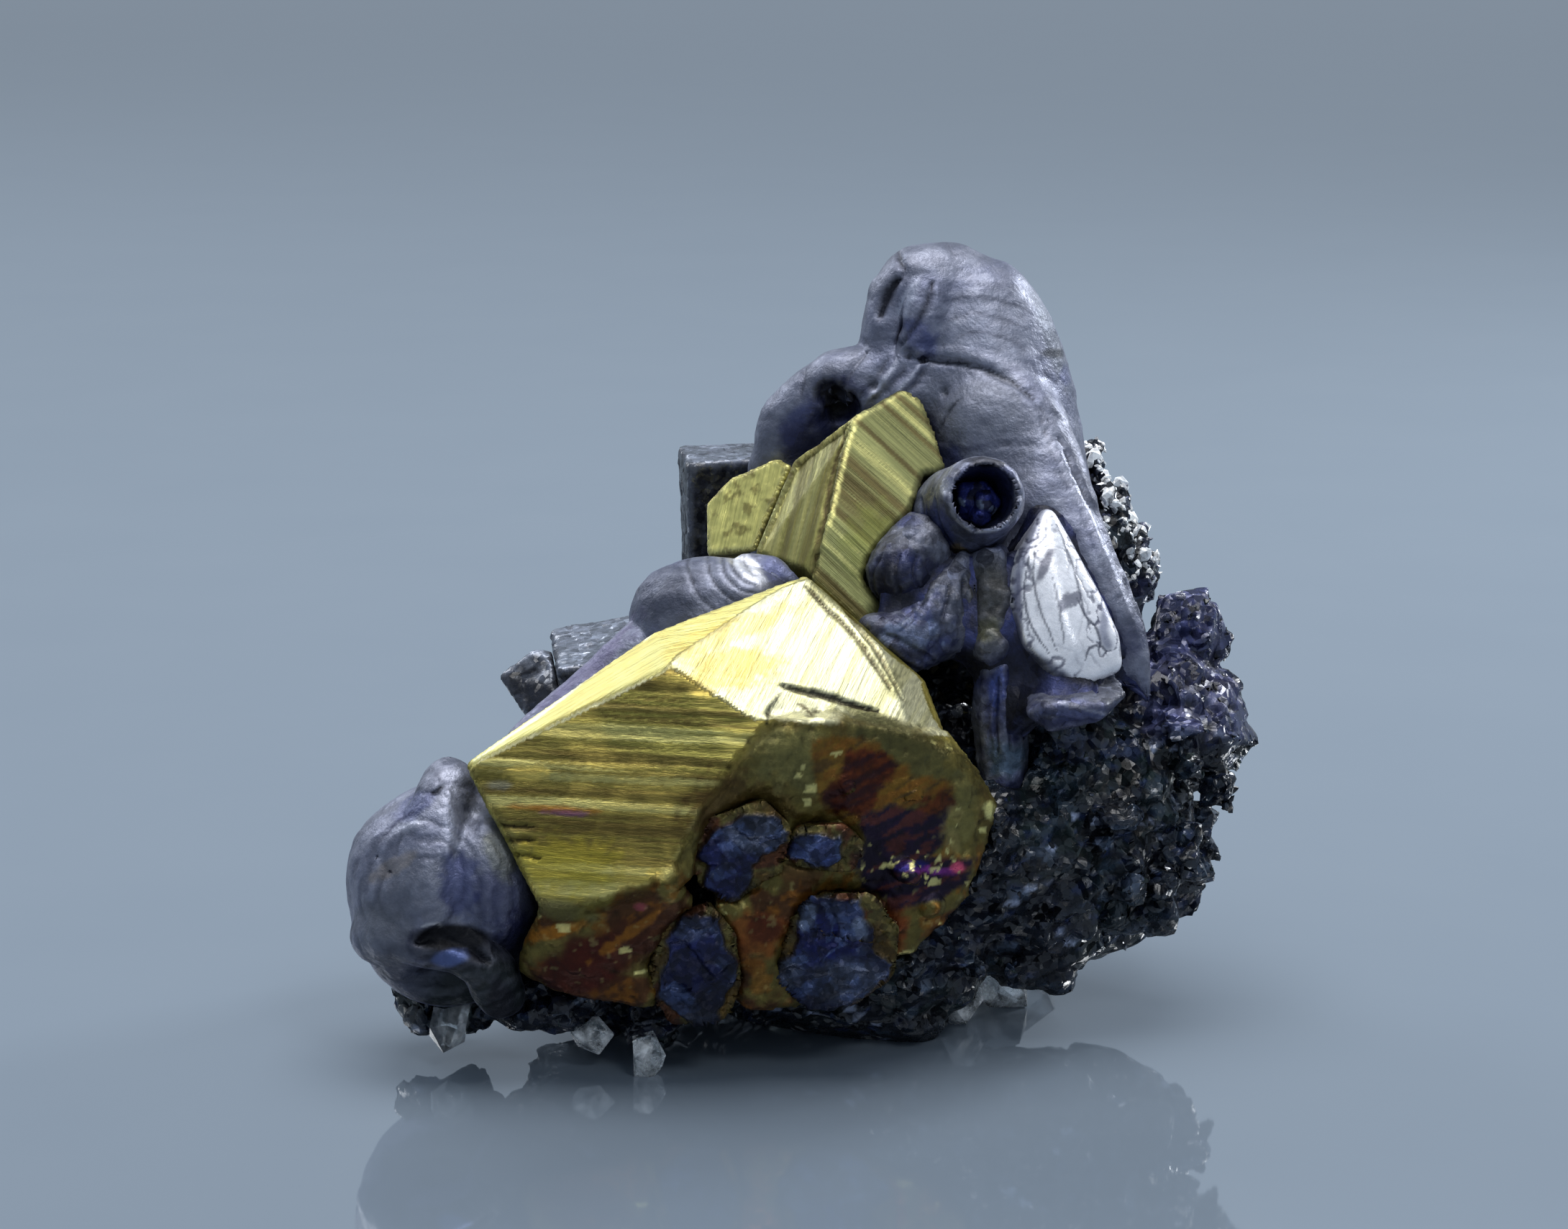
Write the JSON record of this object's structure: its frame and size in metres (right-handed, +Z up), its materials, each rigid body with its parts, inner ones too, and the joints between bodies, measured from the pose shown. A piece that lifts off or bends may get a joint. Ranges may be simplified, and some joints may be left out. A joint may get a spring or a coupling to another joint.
{
  "type": "galena specimen",
  "caption": "Natural cluster of smooth rolled galena with striated chalcopyrite crystals, jagged black sphalerite and a quartz underside, resting on a small flat spot.",
  "frame": {"origin": "on the resting surface, under the middle of the specimen's box", "axes": "+Z up from the resting surface, +X to the right as seen from the front, +Y to the rear"},
  "size_m": [0.0514, 0.0354, 0.0429],
  "materials": {
    "galena": "satin metallic",
    "bright_galena": "bright metallic",
    "blue_galena": "satin metallic",
    "cleaved_galena": "smooth cleavage",
    "chalcopyrite": "striated brassy, tarnished",
    "sphalerite": "resinous, jagged",
    "dark_crystal": "satin",
    "quartz": "translucent",
    "clear_quartz": "clear"
  },
  "bodies": {
    "root": {"chalcopyrite_front": "chalcopyrite", "galena_patch_a": "cleaved_galena", "galena_patch_b": "cleaved_galena", "galena_patch_c": "cleaved_galena", "galena_patch_d": "cleaved_galena", "galena_ball": "galena", "galena_open_tube": "galena", "tube_crust": "blue_galena", "galena_stub_tube": "galena", "galena_flared_tube": "blue_galena", "galena_wedge": "bright_galena", "galena_shelf": "blue_galena", "galena_column": "blue_galena", "chalcopyrite_rear": "chalcopyrite", "chalcopyrite_rear_plate": "chalcopyrite", "galena_shell_lobe": "galena", "galena_main": "galena", "rear_block_tall": "dark_crystal", "rear_block_round": "dark_crystal", "rear_plate_upper": "dark_crystal", "rear_plate_lower": "dark_crystal", "quartz_clear_crystal": "clear_quartz", "quartz_foot_a": "quartz", "quartz_foot_b": "quartz", "quartz_underside": "quartz", "sphalerite_mass": "sphalerite"}
  },
  "joints": []
}
